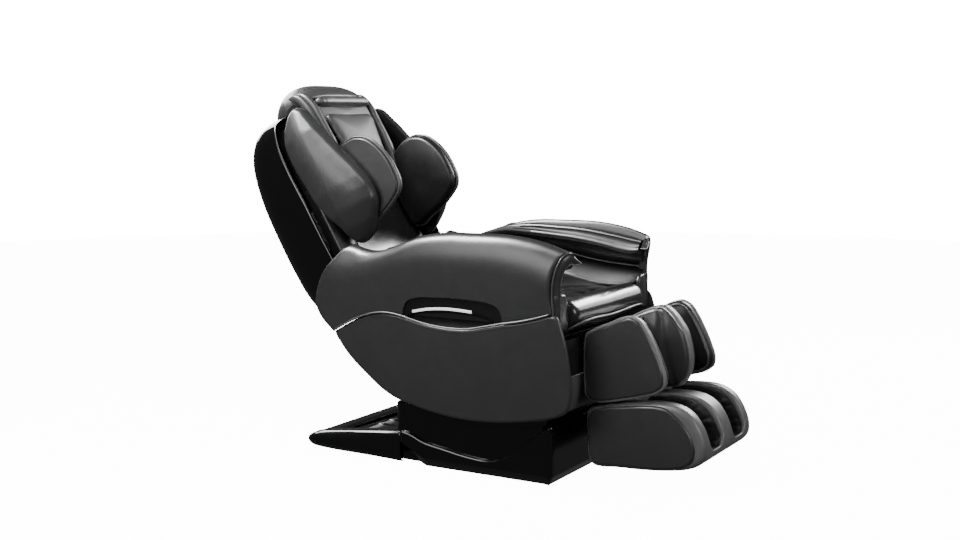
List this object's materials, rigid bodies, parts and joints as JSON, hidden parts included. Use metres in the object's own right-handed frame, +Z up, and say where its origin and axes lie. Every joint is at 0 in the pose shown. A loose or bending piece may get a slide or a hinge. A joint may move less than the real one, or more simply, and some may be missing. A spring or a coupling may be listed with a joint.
{
  "type": "massage chair",
  "caption": "Reclining massage chair with roller carriage, shoulder pods, forearm channels, calf and foot wells on a pedestal base.",
  "frame": {"origin": "on the floor, at the middle of the middle floor pad's underside", "axes": "+Z up, the sitter faces -Y, the sitter's right arm is at -X"},
  "size_m": [0.71, 1.684, 1.2287],
  "materials": {
    "steel": "black powder coat",
    "cast_housing": "cast, satin",
    "bright_rod": "polished",
    "rubber": "matte",
    "black_plastic": "fine texture",
    "gloss_black": "high gloss",
    "charcoal_leather": "satin synthetic leather over foam",
    "black_leather": "glossy synthetic leather over foam",
    "grey_trim": "satin grey synthetic leather",
    "dark_fabric": "soft knitted lining",
    "light_lens": "frosted light strip"
  },
  "bodies": {
    "base": {"base_frame": "steel", "floor_pads": "rubber", "base_front_cover": "gloss_black", "base_rear_cover": "gloss_black", "pedestal_cover": "gloss_black", "tilt_brackets": "steel", "control_box": "cast_housing", "air_pump": "black_plastic", "power_inlet": "black_plastic"},
    "power_switch": {"power_switch": "black_plastic"},
    "wheel_right": {"transport_wheel_right": "rubber"},
    "wheel_left": {"transport_wheel_left": "rubber"},
    "tilt_motor": {"tilt_actuator_motor": "cast_housing"},
    "tilt_rod": {"tilt_actuator_rod": "bright_rod"},
    "seat": {"seat_frame": "steel", "seat_cushion": "black_leather", "belly_cover": "grey_trim", "seat_front_cover": "black_plastic", "arm_upper_cover_right": "charcoal_leather", "arm_upper_cover_left": "charcoal_leather", "arm_lower_panel_right": "charcoal_leather", "arm_lower_panel_left": "charcoal_leather", "speaker_panels": "gloss_black", "light_strips": "light_lens", "arm_top_pad_right": "black_leather", "arm_top_pad_left": "black_leather", "arm_lower_pad_right": "black_leather", "arm_lower_pad_left": "black_leather", "arm_liners": "black_plastic"},
    "recline_motor": {"recline_actuator_motor": "cast_housing"},
    "recline_rod": {"recline_actuator_rod": "bright_rod"},
    "leg_motor": {"leg_actuator_motor": "cast_housing"},
    "leg_rod": {"leg_actuator_rod": "bright_rod"},
    "backrest": {"backrest_frame": "steel", "backrest_shell": "gloss_black", "backrest_pad": "black_leather", "shoulder_wing_right": "charcoal_leather", "shoulder_wing_left": "charcoal_leather", "shoulder_pod_right": "charcoal_leather", "shoulder_pod_left": "charcoal_leather", "hood": "charcoal_leather"},
    "head_pillow": {"head_pillow": "charcoal_leather"},
    "carriage": {"massage_carriage": "cast_housing"},
    "knead_right": {"knead_arm_right": "bright_rod"},
    "knead_left": {"knead_arm_left": "bright_rod"},
    "roller_upper_right": {"roller_upper_right": "rubber"},
    "roller_upper_left": {"roller_upper_left": "rubber"},
    "roller_lower_right": {"roller_lower_right": "rubber"},
    "roller_lower_left": {"roller_lower_left": "rubber"},
    "leg_rest": {"legrest_frame": "steel", "calf_shell": "grey_trim", "calf_side_cover_right": "charcoal_leather", "calf_side_cover_left": "charcoal_leather", "calf_pads": "dark_fabric"},
    "foot_rest": {"foot_shell": "grey_trim", "foot_side_panel_right": "charcoal_leather", "foot_side_panel_left": "charcoal_leather", "foot_linings": "dark_fabric"},
    "sole_roller_heel": {"sole_roller_heel": "rubber"},
    "sole_roller_toe": {"sole_roller_toe": "rubber"}
  },
  "joints": [
    {"name": "zero_gravity_tilt", "type": "hinge", "parent": "base", "child": "seat", "pos_m": [0, 0.12, 0.26], "axis": [-1, 0, 0], "range_deg": [0, 15]},
    {"name": "backrest_recline", "type": "hinge", "parent": "seat", "child": "backrest", "pos_m": [0, 0.225, 0.395], "axis": [-1, 0, 0], "range_deg": [0, 40]},
    {"name": "legrest_raise", "type": "hinge", "parent": "seat", "child": "leg_rest", "pos_m": [0, -0.5, 0.48], "axis": [-1, 0, 0], "range_deg": [0, 80]},
    {"name": "footrest_extend", "type": "slide", "parent": "leg_rest", "child": "foot_rest", "axis": [0, -0.0698, -0.9976], "range_m": [0, 0.1]},
    {"name": "head_pillow_flip", "type": "hinge", "parent": "backrest", "child": "head_pillow", "pos_m": [0, 0.62611, 1.17129], "axis": [-1, 0, 0], "range_deg": [0, 70]},
    {"name": "carriage_travel", "type": "slide", "parent": "backrest", "child": "carriage", "axis": [0, 0.515, 0.8572], "range_m": [-0.19, 0.2]},
    {"name": "knead_right", "type": "hinge", "parent": "carriage", "child": "knead_right", "pos_m": [-0.07, 0.55451, 0.757], "axis": [1, 0, 0], "range_deg": [-8, 8]},
    {"name": "knead_left", "type": "hinge", "parent": "carriage", "child": "knead_left", "pos_m": [0.07, 0.55451, 0.757], "axis": [1, 0, 0], "range_deg": [-8, 8]},
    {"name": "roller_upper_right_spin", "type": "hinge", "parent": "knead_right", "child": "roller_upper_right", "pos_m": [-0.09, 0.57479, 0.83347], "axis": [1, 0, 0], "continuous": true},
    {"name": "roller_lower_right_spin", "type": "hinge", "parent": "knead_right", "child": "roller_lower_right", "pos_m": [-0.09, 0.49651, 0.70318], "axis": [1, 0, 0], "continuous": true},
    {"name": "roller_upper_left_spin", "type": "hinge", "parent": "knead_left", "child": "roller_upper_left", "pos_m": [0.09, 0.57479, 0.83347], "axis": [1, 0, 0], "continuous": true},
    {"name": "roller_lower_left_spin", "type": "hinge", "parent": "knead_left", "child": "roller_lower_left", "pos_m": [0.09, 0.49651, 0.70318], "axis": [1, 0, 0], "continuous": true},
    {"name": "sole_roller_heel_spin", "type": "hinge", "parent": "foot_rest", "child": "sole_roller_heel", "pos_m": [0, -0.64, 0.099], "axis": [1, 0, 0], "continuous": true},
    {"name": "sole_roller_toe_spin", "type": "hinge", "parent": "foot_rest", "child": "sole_roller_toe", "pos_m": [0, -0.735, 0.108], "axis": [1, 0, 0], "continuous": true},
    {"name": "wheel_right_spin", "type": "hinge", "parent": "base", "child": "wheel_right", "pos_m": [-0.25, 0.52, 0.028], "axis": [1, 0, 0], "continuous": true},
    {"name": "wheel_left_spin", "type": "hinge", "parent": "base", "child": "wheel_left", "pos_m": [0.25, 0.52, 0.028], "axis": [1, 0, 0], "continuous": true},
    {"name": "power_switch_rock", "type": "hinge", "parent": "base", "child": "power_switch", "pos_m": [-0.05, 0.211, 0.15], "axis": [-1, 0, 0], "range_deg": [0, 18]},
    {"name": "tilt_motor_swing", "type": "hinge", "parent": "base", "child": "tilt_motor", "pos_m": [0, 0.06, 0.075], "axis": [1, 0, 0], "range_deg": [-11.78, 0]},
    {"name": "tilt_rod_stroke", "type": "slide", "parent": "tilt_motor", "child": "tilt_rod", "axis": [0, -0.7901, 0.613], "range_m": [0, 0.04586]},
    {"name": "recline_motor_swing", "type": "hinge", "parent": "seat", "child": "recline_motor", "pos_m": [-0.09, -0.1, 0.34], "axis": [1, 0, 0], "range_deg": [-2.15, 0]},
    {"name": "recline_rod_stroke", "type": "slide", "parent": "recline_motor", "child": "recline_rod", "axis": [0, 0.9993, -0.0383], "range_m": [-0.05319, 0]},
    {"name": "leg_motor_swing", "type": "hinge", "parent": "seat", "child": "leg_motor", "pos_m": [0.09, -0.1, 0.3], "axis": [1, 0, 0], "range_deg": [0, 4.39]},
    {"name": "leg_rod_stroke", "type": "slide", "parent": "leg_motor", "child": "leg_rod", "axis": [0, -0.9512, 0.3087], "range_m": [0, 0.11166]}
  ],
  "couplings": [
    {"joint": "knead_left", "follows": "knead_right", "ratio": -1},
    {"joint": "sole_roller_toe_spin", "follows": "sole_roller_heel_spin", "ratio": 1},
    {"joint": "tilt_motor_swing", "follows": "zero_gravity_tilt", "ratio": -0.78415},
    {"joint": "tilt_rod_stroke", "follows": "zero_gravity_tilt", "m_per_rad": 0.17479},
    {"joint": "recline_motor_swing", "follows": "backrest_recline", "ratio": -0.05333},
    {"joint": "recline_rod_stroke", "follows": "backrest_recline", "m_per_rad": -0.076043},
    {"joint": "leg_motor_swing", "follows": "legrest_raise", "ratio": 0.054581},
    {"joint": "leg_rod_stroke", "follows": "legrest_raise", "m_per_rad": 0.079896}
  ]
}
